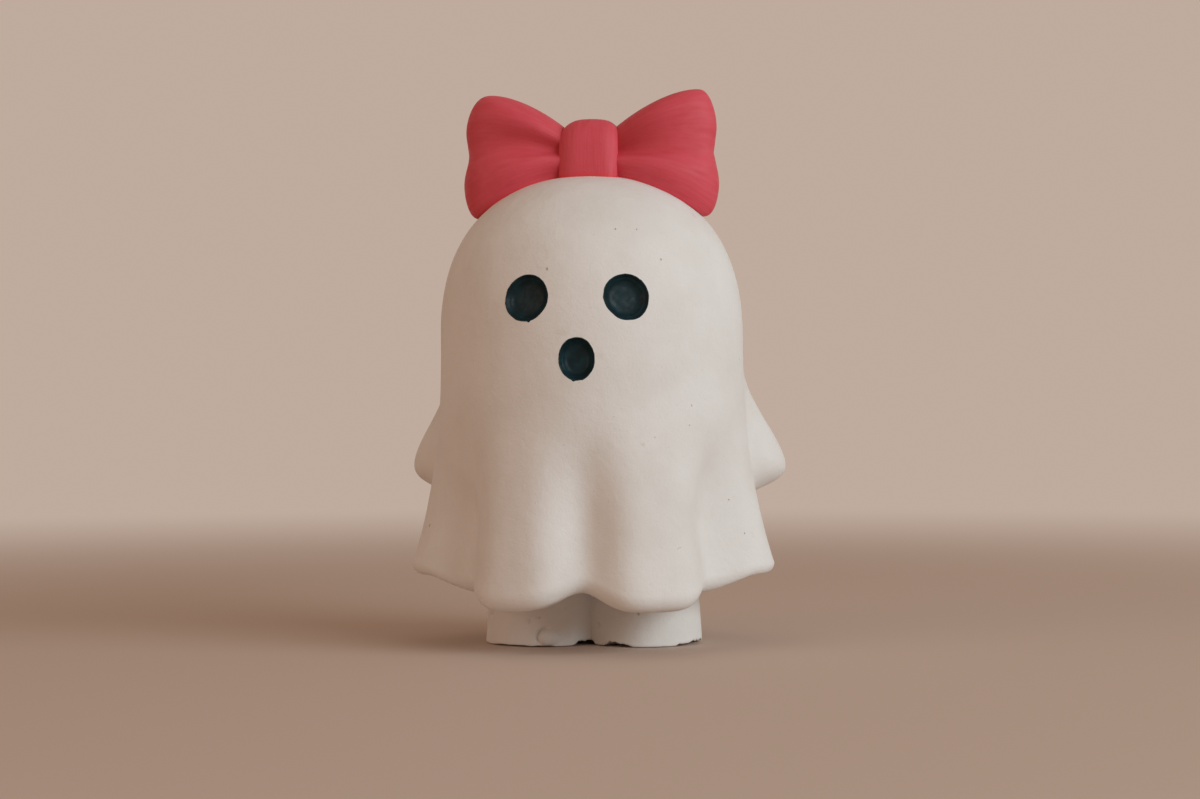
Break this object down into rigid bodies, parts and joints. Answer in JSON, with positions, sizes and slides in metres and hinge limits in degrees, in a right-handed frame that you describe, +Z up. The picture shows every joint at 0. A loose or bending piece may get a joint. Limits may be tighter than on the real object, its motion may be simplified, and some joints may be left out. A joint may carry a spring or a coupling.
{
  "type": "ghost figurine",
  "caption": "Cast sheet-ghost figurine with a domed head, folded hem, small side arms, short feet and a bow on top, standing free.",
  "frame": {"origin": "bottom centre of the bounding box, between the soles of the feet on the surface it stands on", "axes": "+Z up along the figure, the face looks towards -Y, +X is on the right of someone who looks at the face"},
  "size_m": [0.055, 0.0456, 0.0794],
  "materials": {
    "plaster": "unglazed matte, fine granular cast surface with pinholes",
    "bow_paint": "matte brushed paint over plaster",
    "dark_enamel": "semi-gloss dark teal paint"
  },
  "bodies": {
    "root": {"sheet_body": "plaster", "left_foot": "plaster", "right_foot": "plaster", "bow_left_loop": "bow_paint", "bow_right_loop": "bow_paint", "bow_knot": "bow_paint", "left_eye": "dark_enamel", "right_eye": "dark_enamel", "mouth": "dark_enamel"}
  },
  "joints": []
}
